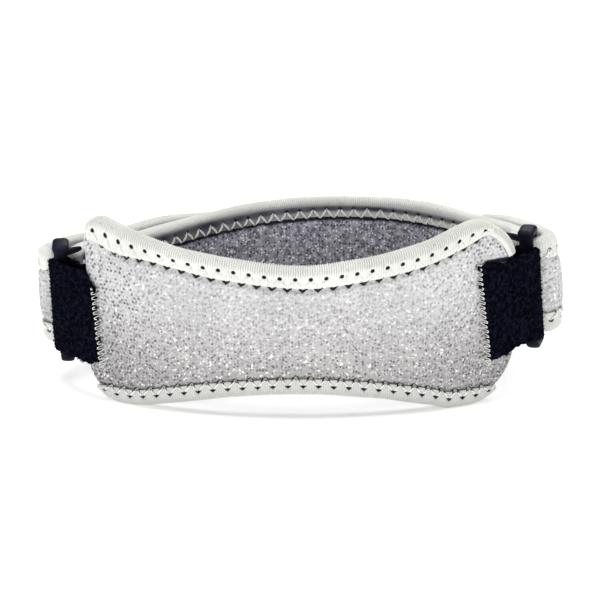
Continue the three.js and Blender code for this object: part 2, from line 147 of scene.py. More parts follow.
# Middle line of the band inside the laps, left ring to right ring: x, y, bottom, top.
BAND_ROWS = [
    (-65.2, 6.8, 10.2, 39.8), (-49.4, 17.2, 6.0, 40.1), (-28.4, 31.2, 0.6, 42.2),
    (-8, 41.0, -1.0, 43.6), (12, 44.2, -1.0, 44.2), (31, 40.6, -0.2, 44.4),
    (46, 32.4, 4.0, 44.0), (59, 21.2, 10.0, 43.4), (68, 7.6, 14.6, 44.2),
]

# Sewing: zigzag stitches, the pull and the seam crease that they leave in the cloth, each a dent with
# painted shade, overcast stitches.
STITCH = Values(
    pitch=4.5, pad_thread=0.2, band_thread=0.34, hole=0.54, past_leg=0.5, arch=0.14, sunk=1.2,
    needle=1.6, sides=6,
)
PULL = Values(slope=0.75, skew=0.15, width=0.46, reach=1.05, fade=0.5)
SEAM = Values(least=0.35, patch=2.1, at=0.05)
OVERCAST = Values(
    pitch=1.5, reach=0.42, outwards=0.3, thread=0.13, uneven=0.5, patch=1.3, clear=0.3,
    over_tape=0.25, sunk=0.5, needle=0.8, sides=6, tape_run=0.3, swing_run=(-0.2, 0.3),
)
RIB_PITCH = 0.7

# Cloth: the knit's loops and holes, then how the panel and the band wear it.
KNIT = Values(
    across=1.35, up=1.2, height=0.34, level=0.6, hole=0.42, patch=(2.3, 1.7), dark=(0.1, 0.9),
    white=(0.55, 0.95), white_share=0.6, bare=(-0.3, 0.8), sewn_depth=0.45, shoulder_run=(0.2, 2.4),
)
PAD_CLOTH = Values(
    spacing=0.42, shoulder=0.8, shoulder_ends=(12, 20), ends=(30, 62), jitter=0.8, evener=0.5,
    soft=0.9, soft_patch=(17, 13), speck=0.15, low_speck=0.65, tone=0.3,
)
BAND_CLOTH = Values(
    spacing=0.55, shoulder=0.55, lap_seam=0.26, loop_run=(2, 12), inside_run=(6, 30), jitter=0.8,
    knit_from=(31, 17), speck=0.2, tone=0.6,
)
FLECK = Values(per_metre=1050, from_height=42, to_height=14)
# Painted shade: cloth and tapes grow darker towards the floor, from the first height down to the
# second.
LOW_SHADE = Values(from_height=42, to_height=4, most=0.75)
LOOPS = Values(
    row=1.1, pitch=1.0, parts=6, height=0.5, thread=0.12, swing=0.28, stray=0.5, lean=0.9, sunk=0.15,
    sides=4,
)
TIE_SPACING = 0.42
HOOK_SPACING = 0.5

FLOOR = Values(level=-0.2, half_size=2.5)
# The floor glows round the strap as painted light, and is left dark under it.
GLOW = Values(oval=(1.2, 1.7, 0), start=60, full=94, strength=0.64)
SKY_STRENGTH = 0.15
# Lamps, in metres and watts: name, place, size, power.
LAMPS = [
    ("key_left", (-1.2, -1.0, 0.20), 0.5, 9.6),
    ("key_right", (1.2, -1.0, 0.20), 0.5, 7.6),
    ("key_top", (0.0, 0.1, 1.3), 1.2, 17),
    ("key_back", (0.2, 1.3, 0.8), 0.6, 5),
]

random = np.random.default_rng(11)
LATTICE = 256
lattices = random.random((6, LATTICE, LATTICE))


# Camera

def make_camera():
    data = bpy.data.cameras.new("camera")
    data.sensor_width = SENSOR_WIDTH
    data.lens = SENSOR_WIDTH * DISTANCE / (PICTURE_WIDTH * MM_PER_PIXEL * MM)
    data.clip_start = 0.01
    data.clip_end = 20
    camera = bpy.data.objects.new("camera", data)
    back = Vector((0, -math.cos(ELEVATION), math.sin(ELEVATION)))
    camera.location = TARGET + back * DISTANCE
    camera.rotation_mode = "QUATERNION"
    camera.rotation_quaternion = (-back).to_track_quat("-Z", "Y")
    bpy.context.scene.collection.objects.link(camera)
    bpy.context.scene.camera = camera


make_camera()


# Curves and tables

def smooth(value, low, high):
    t = np.clip((value - low) / (high - low), 0, 1)
    return t * t * (3 - 2 * t)


def bell(value, width):
    return np.exp(-(value / width) ** 2)


def squared(wave, power):
    """A sine or cosine with its sign kept, made squarer by a power under one."""
    return np.sign(wave) * np.abs(wave) ** power


def distances(points):
    """How far along a line each of its points lies."""
    return np.concatenate([[0], np.cumsum(np.linalg.norm(np.diff(points, axis=0), axis=1))])


def moved_in(spot, way, inward):
    """A spot on a wall's edge moved in over its face, square to the way along the edge."""
    (x, y), (way_x, way_y) = spot, way
    size = np.hypot(way_x, way_y)
    return x + way_y / size * inward, y - way_x / size * inward


def read_table(alongs, values, at):
    """A smooth curve through a table's values, read at distances along it."""
    order = np.arange(len(alongs))
    before = np.maximum(order - 1, 0)
    after = np.minimum(order + 1, order[-1])
    slopes = (values[after] - values[before]) / (alongs[after] - alongs[before])
    i = np.clip(np.searchsorted(alongs, at, side="right"), 1, order[-1])
    span = alongs[i] - alongs[i - 1]
    t = np.clip((at - alongs[i - 1]) / span, 0, 1)
    rise = t * t * (3 - 2 * t)
    lead = t * (1 - t) ** 2 * slopes[i - 1] * span
    trail = t * t * (t - 1) * slopes[i] * span
    return values[i - 1] + (values[i] - values[i - 1]) * rise + lead + trail


def corner_inset(distance, radius):
    """How far a round corner takes an edge in, at a distance from the strip's end."""
    across = np.maximum(radius - np.maximum(distance, 0), 0)
    return radius - np.sqrt(np.maximum(radius ** 2 - across ** 2, 0))


def by_hand(along, name):
    """The left side's value on the panel's left half and the right side's on its right half."""
    return np.where(along < 0, getattr(LEFT, name), getattr(RIGHT, name))


class PlanLine:
    """A line seen from above, read by the distance along it."""

    def __init__(self, points):
        self.along = distances(points)
        self.length = self.along[-1]
        self.points = points
        tangents = np.gradient(points, self.along, axis=0)
        self.tangents = tangents / np.linalg.norm(tangents, axis=1)[:, None]

    def read(self, column, along):
        return np.interp(along, self.along, column)

    def beside(self, along, offset):
        """Places beside the line, square to it, straight on past its ends."""
        inside = np.clip(along, 0, self.length)
        past = along - inside
        x, y = (self.read(self.points[:, k], inside) for k in (0, 1))
        tx, ty = (self.read(self.tangents[:, k], inside) for k in (0, 1))
        return np.stack([x + tx * past + ty * offset, y + ty * past - tx * offset], axis=-1)


SPAN_PARTS = 80


def line_through(points):
    """A smooth line through points, and each point's distance along it."""
    points = np.asarray(points, dtype=float)
    first = 2 * points[0] - points[1]
    last = 2 * points[-1] - points[-2]
    whole = np.vstack([first, points, last])
    t = np.linspace(0, 1, SPAN_PARTS, endpoint=False)[:, None]
    pieces = []
    for p0, p1, p2, p3 in zip(whole, whole[1:], whole[2:], whole[3:]):
        d0, d1, d2 = (math.sqrt(np.linalg.norm(b - a)) for a, b in ((p0, p1), (p1, p2), (p2, p3)))
        out = ((p1 - p0) / d0 - (p2 - p0) / (d0 + d1) + (p2 - p1) / d1) * d1
        into = ((p2 - p1) / d1 - (p3 - p1) / (d1 + d2) + (p3 - p2) / d2) * d1
        pieces.append(
            p1 + out * t + (-3 * p1 + 3 * p2 - 2 * out - into) * t ** 2
            + (2 * p1 - 2 * p2 + out + into) * t ** 3
        )
    line = PlanLine(np.vstack([*pieces, points[-1:]]))
    return line, line.along[::SPAN_PARTS]


def lattice_noise(layer, x, y):
    """Soft noise between 0 and 1 with one cell to a unit."""
    table = lattices[layer]
    i, j = np.floor(x).astype(int), np.floor(y).astype(int)
    s, t = smooth(x - i, 0, 1), smooth(y - j, 0, 1)
    corner = lambda a, b: table[(i + a) % LATTICE, (j + b) % LATTICE]
    low = corner(0, 0) * (1 - s) + corner(1, 0) * s
    high = corner(0, 1) * (1 - s) + corner(1, 1) * s
    return low * (1 - t) + high * t


def lean_across(places):
    """Everything behind the panel leans across a little with its ring."""
    x, y, z = places.T
    rate = LEFT.lean + (RIGHT.lean - LEFT.lean) * smooth(x, LEAN.from_x, LEAN.to_x)
    places[:, 0] = x + rate * (z - LEAN.pivot) * smooth(y, LEAN.from_y, LEAN.to_y)
    return places


# The strips: walls bent along a plan line. Each has place(along, height, offset), with the offset
# square to the wall, and edges(along, inset), its lower and upper edge drawn in by an inset.

def at_height(plan, height):
    return np.column_stack([plan, height])


def pad_strip():
    """The padded panel, bent along the front of an oval."""
    turns = np.linspace(-PAD_PLAN.half_sweep, PAD_PLAN.half_sweep, 2001) - math.pi / 2
    line = PlanLine(np.column_stack([
        PAD_PLAN.half_width * np.cos(turns),
        PAD_PLAN.centre_y + PAD_PLAN.half_depth * np.sin(turns),
    ]))
    stations, bottoms, tops = PAD_SECTIONS.T

    def straight_edges(along):
        return np.maximum(read_table(stations, bottoms, along), 0), read_table(stations, tops, along)

    def edges(along, inset):
        from_end = PAD.half_length - np.abs(along)
        bottom, top = straight_edges(along)
        bottom = bottom + inset + corner_inset(from_end, by_hand(along, "bottom_corner"))
        return bottom, top - inset - corner_inset(from_end, by_hand(along, "top_corner"))

    def place(along, height, offset):
        end = smooth(np.abs(along), PAD.half_length - CORNER_CURL.run, PAD.half_length)
        curl = by_hand(along, "curl") * end * smooth(height, CORNER_CURL.low, CORNER_CURL.high)
        drawn_in = along * (1 - PAD.taper * (1 - height / PAD.height))
        return at_height(line.beside(drawn_in + line.length / 2, offset + curl), height)

    return Values(
        start=-PAD.half_length, end=PAD.half_length, half=PAD.half,
        edges=edges, straight_edges=straight_edges, place=place,
    )


def ring_frame(side, pad):
    """Where a side's ring stands: its posts and its directions back and outwards, in plan."""
    at_end = np.array([side.hand * PAD.half_length])
    end = pad.place(at_end, np.array([side.tape_at_pad]), 0)[0, :2]
    tape_turn, ring_turn = math.radians(side.tape_angle), math.radians(side.ring_angle)
    front = end + side.reach * np.array([side.hand * math.cos(tape_turn), math.sin(tape_turn)])
    back = np.array([side.hand * math.cos(ring_turn), math.sin(ring_turn)])
    out = side.hand * np.array([back[1], -back[0]])
    return Values(front=front, rear=front + RING.spacing * back, back=back, out=out)


def turn_round(post, ring, out_radius, back_radius):
    """A half turn round a post, from its outer side to its inner side."""
    turns = np.radians([0, 45, 90, 135, 180])[:, None]
    return post + ring.out * out_radius * np.cos(turns) + ring.back * back_radius * np.sin(turns)


def tape_strip(side, ring, pad):
    """A tie: from the panel's outer face round the ring's front post to its inner face."""
    on_pad = PAD.half + GAP + TAPE.half

    def on_face(from_ends, face):
        along = side.hand * (PAD.half_length - np.array(from_ends))
        return pad.place(along, np.full(len(along), side.tape_at_pad), face * on_pad)[:, :2]

    outer = on_face([side.overlap, side.overlap / 2, 0], 1)
    inner = on_face([0, TAPE.inner_overlap / 2, TAPE.inner_overlap], -1)
    clear = GAP + TAPE.half
    wrap = turn_round(ring.front, ring, RING.thickness / 2 + clear, RING.bar / 2 + clear)
    points = np.vstack([outer, wrap, inner])
    rising = np.linspace(side.tape_at_pad, side.tape_at_ring, 3)
    middles = np.concatenate([rising, [side.tape_at_ring] * 5, [side.tape_at_pad] * 3])
    if side.hand < 0:
        points, middles = points[::-1], middles[::-1]
    line, stations = line_through(points)
    start = max(side.hand, 0) * side.trim
    end = line.length + min(side.hand, 0) * side.trim
    front = end if side.hand < 0 else start

    def edges(along, inset):
        middle = read_table(stations, middles, along)
        low_fray, high_fray = (
            TAPE.fray * (lattice_noise(0, along / TAPE.tooth, along * 0 + row) - 0.5)
            for row in (20, 40)
        )
        near_front = 1 - smooth(np.abs(front - along), 0, side.cut_run)
        low_cut, high_cut = side.bottom_cut * near_front, side.top_cut * near_front
        return (
            middle - TAPE.height / 2 + inset + low_fray + low_cut,
            middle + TAPE.height / 2 - inset + high_fray - high_cut,
        )

    def place(along, height, offset):
        near_end = 1 - smooth(np.minimum(along - start, end - along), *TAPE.fray_run)
        fray = 2 * TAPE.fray * (lattice_noise(1, height / TAPE.tooth, along * 0 + 60) - 0.5)
        near_front = 1 - smooth(np.abs(front - along), 0, TAPE.shear_run)
        leaning = side.shear * (height - side.tape_at_pad) * near_front
        return at_height(line.beside(along + fray * near_end - leaning, offset), height)

    return Values(start=start, end=end, half=TAPE.half, edges=edges, place=place)


def band_strip(rings):
    """The band: left lap, fold through the left ring, the loop's back, right fold, right lap."""
    finished = BAND.half + BAND_BINDING.hem
    lap_offset = 2 * (finished + HOOK.half + GAP)
    clear = FOLD_SLACK.round + finished

    def fold_rows(side):
        ring = rings[side.name]
        plan = turn_round(ring.rear, ring, RING.thickness / 2 + clear, -RING.bar / 2 - clear)
        return [(*spot, side.fold_bottom, side.fold_top) for spot in plan]

    left_fold, right_fold = fold_rows(LEFT), fold_rows(RIGHT)
    inner = np.array([left_fold[4], *BAND_ROWS, right_fold[4]])
    inner_line, inner_stations = line_through(inner[:, :2])

    def lap_rows(side):
        count = round(side.lap / LAP_STEP)
        from_ring = side.lap * (np.arange(count) + 0.7) / (count - 0.3)
        along = from_ring if side.hand < 0 else inner_line.length - from_ring
        bulge = FOLD_SLACK.bulge * (1 - smooth(from_ring, 0, FOLD_SLACK.reach))
        plan = inner_line.beside(along, -lap_offset - bulge)
        bottom, top = (read_table(inner_stations, inner[:, k], along) for k in (2, 3))
        lift = side.lap_lift * smooth(from_ring, 0, FOLD_SLACK.reach)
        drop = side.tip_drop * smooth(from_ring, side.lap - side.tip_run, side.lap)
        return list(np.column_stack([plan, bottom, top + lift - drop]))

    rows = np.array([
        *lap_rows(LEFT)[::-1], *left_fold, *BAND_ROWS, *right_fold[::-1], *lap_rows(RIGHT),
    ])
    line, stations = line_through(rows[:, :2])
    left_laps, right_laps = len(lap_rows(LEFT)), len(lap_rows(RIGHT))
    left_fold_at, right_fold_at = stations[left_laps], stations[-right_laps - 1]

    def from_fold(along):
        return np.minimum(along - left_fold_at, right_fold_at - along)

    def to_right(along):
        return (along - left_fold_at) / (right_fold_at - left_fold_at)

    def edges(along, inset):
        from_tip = np.minimum(along, line.length - along) - inset
        corner = corner_inset(from_tip, BAND.tip_corner - inset)
        bottom = np.maximum(read_table(stations, rows[:, 2], along), 0)
        return bottom + inset + corner, read_table(stations, rows[:, 3], along) - inset - corner

    def place(along, height, offset):
        on_left = along < line.length / 2
        into_lap = np.where(on_left, left_fold_at - along, along - right_fold_at)
        off = np.clip((into_lap - FOLD_SLACK.bow_at) / FOLD_SLACK.bow_run, -1, 1)
        bottom, top = edges(along, 0)
        across = np.clip((2 * height - bottom - top) / (top - bottom), -1, 1)
        bow = FOLD_SLACK.bow * (1 - across ** 2) * (1 - off ** 2) ** 2
        return at_height(line.beside(along, offset + bow), height)

    return Values(
        start=0, end=line.length, half=BAND.half, finished=finished, edges=edges, place=place,
        from_fold=from_fold, to_right=to_right,
    )


def hook_strip(side, band):
    """A hook strip between a lap and the band behind it."""
    middle = band.finished + GAP + HOOK.half
    start = HOOK.from_tip if side.hand < 0 else band.end - HOOK.from_tip - HOOK.length
    return Values(
        start=start, end=start + HOOK.length, half=HOOK.half,
        edges=lambda along, inset: band.edges(along, HOOK.margin + inset),
        place=lambda along, height, offset: band.place(along, height, offset - middle),
    )


# Meshes

def grid_piece(name, columns, rows, faces, shape, material, nodes):
    """A piece of one or two square grids. shape(u, v, face) gives its places in millimetres and
    the named values that its material reads; corners that meet are welded, open ends capped."""
    bm = bmesh.new()
    for face in range(faces):
        lift = Matrix.Translation((0.5, 0.5, face))
        bmesh.ops.create_grid(bm, x_segments=columns, y_segments=rows, size=0.5, matrix=lift)
    mesh = bpy.data.meshes.new(name)
    bm.to_mesh(mesh)
    corners = np.empty(len(mesh.vertices) * 3)
    mesh.vertices.foreach_get("co", corners)
    u, v, face = corners.reshape(-1, 3).T
    places, marks = shape(u, v, face > 0.5)
    mesh.vertices.foreach_set("co", (lean_across(places) * MM).ravel())
    for key, value in marks.items():
        mesh.attributes.new(key, "FLOAT", "POINT").data.foreach_set("value", value)
    bm.clear()
    bm.from_mesh(mesh)
    bmesh.ops.remove_doubles(bm, verts=bm.verts, dist=1e-6)
    bmesh.ops.holes_fill(bm, edges=[edge for edge in bm.edges if edge.is_boundary], sides=0)
    bmesh.ops.recalc_face_normals(bm, faces=bm.faces)
    bm.to_mesh(mesh)
    bm.free()
    mesh.shade_smooth()
    return dressed(name, mesh, material, nodes)


def dressed(name, mesh, material, nodes):
    """A mesh as a piece of the strap, in place of the solids it dresses."""
    piece = bpy.data.objects.new(name, mesh)
    bpy.context.scene.collection.objects.link(piece)
    mesh.materials.append(material)
    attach(piece, "root")
    if nodes:
        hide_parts(*nodes)
    return piece


def wall_piece(name, strip, inset, end_inset, spacing, surface, material, nodes):
    """A closed wall between a strip's edges. surface(along, height, face, from_end) gives the
    height of its skin over the middle and the material's marks."""
    start, end = strip.start + end_inset, strip.end - end_inset
    low, high = strip.edges(np.linspace(start, end, 200), inset)
    columns = round((end - start) / spacing)
    rows = round(float(np.max(high - low)) / spacing)

    def shape(u, v, inner):
        along = start + (end - start) * u
        bottom, top = strip.edges(along, inset)
        height = bottom + (top - bottom) * v
        from_end = np.minimum(along - start, end - along)
        from_edge = np.minimum(np.minimum(height - bottom, top - height), from_end)
        face = np.where(inner, -1, 1)
        skin, marks = surface(along, height, face, from_end)
        round_over = np.clip(1 - from_edge / strip.half, 0, 1)
        skin = skin * np.sqrt(np.maximum(1 - round_over ** 2, 0))
        return strip.place(along, height, face * skin), marks

    return grid_piece(name, columns, rows, 2, shape, material, nodes)


class Rim:
    """A strip's whole edge as a ring, read by the distance round it: top, last end, bottom,
    first end."""
    closed = True
    crease = 1.5
    crease_width = 1.15

    def __init__(self, strip, binding):
        self.binding = binding
        inset = binding.hem
        start, end = strip.start + inset, strip.end - inset
        turns = np.linspace(-math.pi / 2, math.pi / 2, 8001)
        self.along = (start + end) / 2 + (end - start) / 2 * np.sin(turns)
        bottom, top = strip.edges(self.along, inset)
        upper, lower = np.column_stack([self.along, top]), np.column_stack([self.along, bottom])
        ring = np.vstack([upper, lower[::-1], upper[:1]])
        round_it = distances(ring)
        count = len(turns)
        self.reaches = [round_it[count:2 * count][::-1], round_it[:count]]
        self.length = round_it[-1]
        self.at = np.linspace(0, self.length, 6000)
        self.spots = np.column_stack([np.interp(self.at, round_it, ring[:, k]) for k in (0, 1)])
        near = 4
        ahead = np.roll(self.spots[:-1], -near, axis=0)
        behind = np.roll(self.spots[:-1], near, axis=0)
        way = (ahead - behind) / np.linalg.norm(ahead - behind, axis=1)[:, None]
        self.ways = np.vstack([way, way[:1]])

    def reach(self, along, edge):
        """Distance round the rim of the place beside a spot, on the lower or the upper edge."""
        return np.interp(along, self.along, self.reaches[edge])

    def spot(self, distance, inward):
        distance = np.mod(distance, self.length)
        read = lambda table: [np.interp(distance, self.at, column) for column in table.T]
        return moved_in(read(self.spots), read(self.ways), inward)


class LongEdge:
    """The panel's lower (0) or upper (1) edge between its tape's ends, read by distance. The
    tape's fold follows the round corners and its legs end in a straight line."""
    closed = False
    crease = 0.5
    crease_width = 0.5

    def __init__(self, strip, binding, edge):
        self.strip, self.binding, self.edge = strip, binding, edge
        self.inwards = 1 - 2 * edge
        corner = ("bottom_corner", "top_corner")[edge]
        start, end = (
            side.hand * (PAD.half_length - corner_inset(binding.end_drop, getattr(side, corner)))
            for side in (LEFT, RIGHT)
        )
        self.along = np.linspace(start, end, 4001)
        heights = strip.straight_edges(self.along)[edge]
        self.at = distances(np.column_stack([self.along, heights]))
        self.length = self.at[-1]

    def reach(self, along, edge):
        return np.interp(along, self.along, self.at)

    def legs_end(self, along):
        straight = self.strip.straight_edges(along)[self.edge]
        wider = read_table(*self.binding.wider.T, along)
        return straight + self.inwards * (self.binding.hem + self.binding.leg + wider)

    def clear(self, along, height):
        """How far a spot lies inwards of the tape's legs; past the tape's ends it is far from it."""
        from_ends = np.minimum(along - self.along[0], self.along[-1] - along)
        past_ends = 1 - smooth(from_ends, 0, PAST_TAPE.run)
        return self.inwards * (height - self.legs_end(along)) + PAST_TAPE.clear * past_ends

    def spot(self, distance, inward):
        along = np.interp(distance, self.at, self.along)
        hem, leg = self.binding.hem, self.binding.leg
        wall = self.strip.edges(along, hem)[self.edge]
        fold = self.strip.edges(along, 0)[self.edge]
        to_fold = wall + (wall - fold) * inward / hem
        to_legs_end = wall + (self.legs_end(along) - wall) * inward / leg
        return along, np.where(inward < 0, to_fold, to_legs_end)


class CornerEdge:
    """The panel's right end from its top tape round the corner and down to the tie, read by
    distance."""
    closed = False

    def __init__(self, strip, start, low):
        along = np.linspace(start, PAD.half_length, 3001)
        top = strip.edges(along, PAD_HEM)[1]
        self.spots = np.column_stack([along, top])[top > low]
        self.at = distances(self.spots)
        self.length = self.at[-1]

    def spot(self, distance, inward):
        near = 1.5
        ahead, behind = (np.clip(distance + step, 0, self.length) for step in (near, -near))
        read = lambda where: np.stack([np.interp(where, self.at, column) for column in self.spots.T])
        return moved_in(read(distance), read(ahead) - read(behind), inward)


def stitch_pitch(run):
    """The stitch length that fits a run a whole number of times."""
    return run.length / round(run.length / STITCH.pitch)


def from_nearest(distance, pitch):
    return np.mod(distance + pitch / 2, pitch) - pitch / 2


def from_hole(run, distance):
    """Outer needle holes come half way between the inner ones."""
    pitch = stitch_pitch(run)
    return from_nearest(distance - pitch / 2, pitch)


def stitch_pull(across, clear, depth):
    """The V that a stitch pulls into the cloth at an inner needle hole, for its dent and its painted
    shade, seen across the stitch and by the distance beyond the edge tape."""
    vee = depth - PULL.slope * np.abs(across + PULL.skew)
    fades = smooth(np.abs(across), PULL.reach, PULL.reach + PULL.fade)
    return bell(clear - vee, PULL.width) * (1 - fades)


def sewn_line(run, along, edge, clear):
    """How far the cloth is shaded by the sewing beside an edge tape: a crease along the tape and
    a pull at every inner needle hole."""
    reach = run.reach(along, edge)
    uneven = SEAM.least + (1 - SEAM.least) * lattice_noise(3, reach / SEAM.patch, edge * 7.0 + 0.5)
    crease = run.crease * bell(clear - SEAM.at, run.crease_width) * uneven
    pull = stitch_pull(from_nearest(reach, stitch_pitch(run)), clear, run.binding.pull)
    return np.maximum(pull, crease)


def sewn_lines(low_run, high_run, along, over_low, under_high):
    """The stronger of the sewn lines beside a lower and an upper edge tape."""
    return np.maximum(
        sewn_line(low_run, along, 0, over_low), sewn_line(high_run, along, 1, under_high),
    )


def binding_section(strip, binding):
    """The folded tape's U section as a ring of (inward, offset), and which of it is its skin."""
    inside = strip.half + binding.gap
    outside = strip.half + binding.hem
    shoulder = TAPE_FORM.shoulder
    leg_points, turn_points = binding.section
    leg = np.linspace(binding.leg, shoulder, leg_points)
    pressed = outside - TAPE_FORM.press * smooth(leg, shoulder, binding.leg)
    turn = np.linspace(math.pi / 2, -math.pi / 2, turn_points + 2)[1:-1]
    nose_in = shoulder - (shoulder + binding.hem) * squared(np.cos(turn), TAPE_FORM.squareness)
    nose_off = outside * squared(np.sin(turn), TAPE_FORM.squareness)
    skin = np.vstack([
        np.column_stack([leg, pressed]), np.column_stack([nose_in, nose_off]),
        np.column_stack([leg, -pressed])[::-1],
    ])
    half_lining = np.array([
        (binding.leg, -inside), (TAPE_FORM.lining_turn, -inside),
        (-binding.gap, -inside * TAPE_FORM.lining_share),
    ])
    lining = np.vstack([half_lining, (half_lining * (1, -1))[::-1]])
    return np.vstack([skin, lining]), np.arange(len(skin) + len(lining)) < len(skin)


def no_tape_shade(distance, inward, offset):
    """The panel's tapes get no painted shade."""
    return 0 * inward


def band_tape_shade(distance, inward, offset):
    """Painted shade on the band's tape inside the loop, above its stitches, lighter to the right."""
    along = band_rim.spot(distance, inward)[0]
    patchy = lattice_noise(2, distance / TAPE_SHADE.patch, inward * 0 + 9)
    uneven = TAPE_SHADE.least + (1 - TAPE_SHADE.least) * patchy
    past_needle = inward - BAND_BINDING.needle_row
    shallow = smooth(band.to_right(along), *TAPE_SHADE.shallow)
    shaded = smooth(past_needle + TAPE_SHADE.wider_left * (1 - shallow), *TAPE_SHADE.above)
    lighter = TAPE_SHADE.lighter_below + TAPE_SHADE.lighter_right * shallow
    shaded = shaded * (1 - lighter * smooth(past_needle, *TAPE_SHADE.below))
    return uneven * shaded * smooth(band.from_fold(along), *TAPE_SHADE.from_fold) * (offset > 0)


def binding_piece(name, strip, binding, run, groove, nodes):
    """An edge tape folded over a run of a strip's edge, with its ribs and needle holes."""
    ribs = round(run.length / RIB_PITCH)
    columns = ribs * binding.rib_parts
    section, is_skin = binding_section(strip, binding)
    rows = len(section)
    along_section = np.roll(section, -1, axis=0) - np.roll(section, 1, axis=0)
    along_section /= np.linalg.norm(along_section, axis=1)[:, None]
    square = np.column_stack([along_section[:, 1], -along_section[:, 0]])
    pitch = stitch_pitch(run)

    def shape(u, v, _):
        distance = u * run.length
        at = np.round(v * rows).astype(int) % rows
        inward, offset = section[at].T
        skin = is_skin[at].astype(float)
        rib = np.cos(2 * math.pi * u * ribs)
        across = from_hole(run, distance)
        past_needle = inward - binding.needle_row
        row = bell(past_needle, TAPE_FORM.row_width)
        hole_width = STITCH.hole * (1 + binding.vee)
        hole_height = STITCH.hole * (1 - TAPE_FORM.hole_flattened * binding.vee)
        above_needle = past_needle - binding.vee * np.abs(across)
        hole = skin * bell(across, hole_width) * bell(above_needle, hole_height)
        billow = TAPE_FORM.billow * np.cos(2 * math.pi * across / pitch) * row
        patch_along, patch_in = TAPE_FORM.patch
        patchy = lattice_noise(0, distance / patch_along, inward / patch_in) - 0.5
        on_fold = 1 - smooth(inward, *TAPE_FORM.fold_run)
        shows = on_fold + binding.ribbing * (1 - on_fold)
        proud = TAPE_FORM.rib_on_leg + TAPE_FORM.rib_on_fold * on_fold
        sewn_down = TAPE_FORM.row_depth * row + billow
        lift = skin * (proud * rib - sewn_down + TAPE_FORM.uneven * patchy)
        lift = lift - TAPE_FORM.hole_depth * hole
        from_end = np.where(run.closed, pitch, np.minimum(distance, run.length - distance))
        sewn = skin * smooth(from_end, *TAPE_FORM.end_run)
        pull = stitch_pull(from_nearest(distance, pitch), inward - binding.leg, binding.pull)
        marks = {
            "rib": 0.5 + 0.5 * rib * skin * shows,
            # Black needle holes, and painted shade where the stitches pull the tape.
            "hole": np.maximum(TAPE_FORM.hole_shade * hole, TAPE_FORM.pull_shade * sewn * pull),
            "shade": groove(distance, inward, offset) * skin,
        }
        inward = inward + square[at, 0] * lift
        offset = offset + square[at, 1] * lift
        return strip.place(*run.spot(distance, inward), offset), marks

    return grid_piece(name, columns, rows, 1, shape, BINDING_TAPE, nodes)


def thread_piece(name, path, out, closed, sides, radius, material):
    """A thread along a path. out is a way square to it at each point."""
    count = len(path)
    ahead = np.roll(path, -1, axis=0) - np.roll(path, 1, axis=0)
    if not closed:
        ahead[0], ahead[-1] = path[1] - path[0], path[-1] - path[-2]
    ahead /= np.linalg.norm(ahead, axis=1)[:, None]
    aside = np.cross(ahead, out)
    aside /= np.linalg.norm(aside, axis=1)[:, None]
    off = np.cross(aside, ahead)
    columns = count if closed else count - 1

    def shape(u, v, _):
        at = np.round(u * columns).astype(int) % count
        turn = 2 * math.pi * v
        size = np.broadcast_to(radius, count)[at][:, None]
        places = path[at] + size * (
            aside[at] * np.cos(turn)[:, None] + off[at] * np.sin(turn)[:, None]
        )
        return places, {}

    return grid_piece(name, columns, sides, 1, shape, material, ())


def upright(path):
    return np.tile((0.0, 0.0, 1.0), (len(path), 1))


# A stitch's leg is a thread of this many parts.
LEG_STEPS = 8


def zigzag_piece(name, strip, binding, run, thread, face):
    """The zigzag that sews a binding, on one face of the wall."""
    needle_row = binding.needle_row
    pitch = stitch_pitch(run)
    step = np.arange(round(run.length / pitch) * 2 * LEG_STEPS + (not run.closed))
    distance = step * pitch / 2 / LEG_STEPS
    swing = 1 - np.abs(1 - 2 * np.mod(distance / pitch, 1))
    inner_row = binding.leg + STITCH.past_leg
    inward = inner_row + (needle_row - inner_row) * swing
    from_needle = from_nearest(step, LEG_STEPS)
    middle_of_leg = smooth(np.abs(from_needle) / (LEG_STEPS / 2), 0, 1)
    sunk = STITCH.sunk * bell(from_needle, STITCH.needle)
    pressed = TAPE_FORM.press * smooth(inward, needle_row, binding.leg)
    rise = strip.half + binding.hem - pressed + STITCH.arch * middle_of_leg - sunk
    spot = run.spot(distance, inward)
    path = strip.place(*spot, face * rise)
    out = strip.place(*spot, face * (rise + 1)) - path
    return thread_piece(name, path, out, run.closed, STITCH.sides, thread, THREAD)


def zigzag_pair(name, strip, binding, run, thread):
    for face, face_name in ((1, "outer"), (-1, "inner")):
        zigzag_piece(f"{name}_zigzag_{face_name}", strip, binding, run, thread, face)


# Materials

def colour(red, green, blue):
    return red, green, blue, 1


# Of the knit's colours, the two inside ones are painted shade on the faces inside the loop, the one
# between loops painted shade in their hollows, the one low down painted shade towards the floor, and
# the near-black seam colour painted shade along the seams.
KNIT_COLOURS = Values(
    body=colour(0.59, 0.585, 0.585), pale=colour(0.68, 0.672, 0.665),
    lining=colour(0.125, 0.12, 0.165), pale_lining=colour(0.50, 0.48, 0.60),
    between=colour(0.50, 0.49, 0.51), rubbed=colour(0.23, 0.218, 0.212),
    dot=colour(0.34, 0.33, 0.36), bright=colour(0.88, 0.88, 0.87), white=colour(0.92, 0.92, 0.91),
    hole=colour(0.075, 0.074, 0.098), fleck=colour(0.06, 0.056, 0.066),
    seam=colour(0.012, 0.012, 0.022),
)
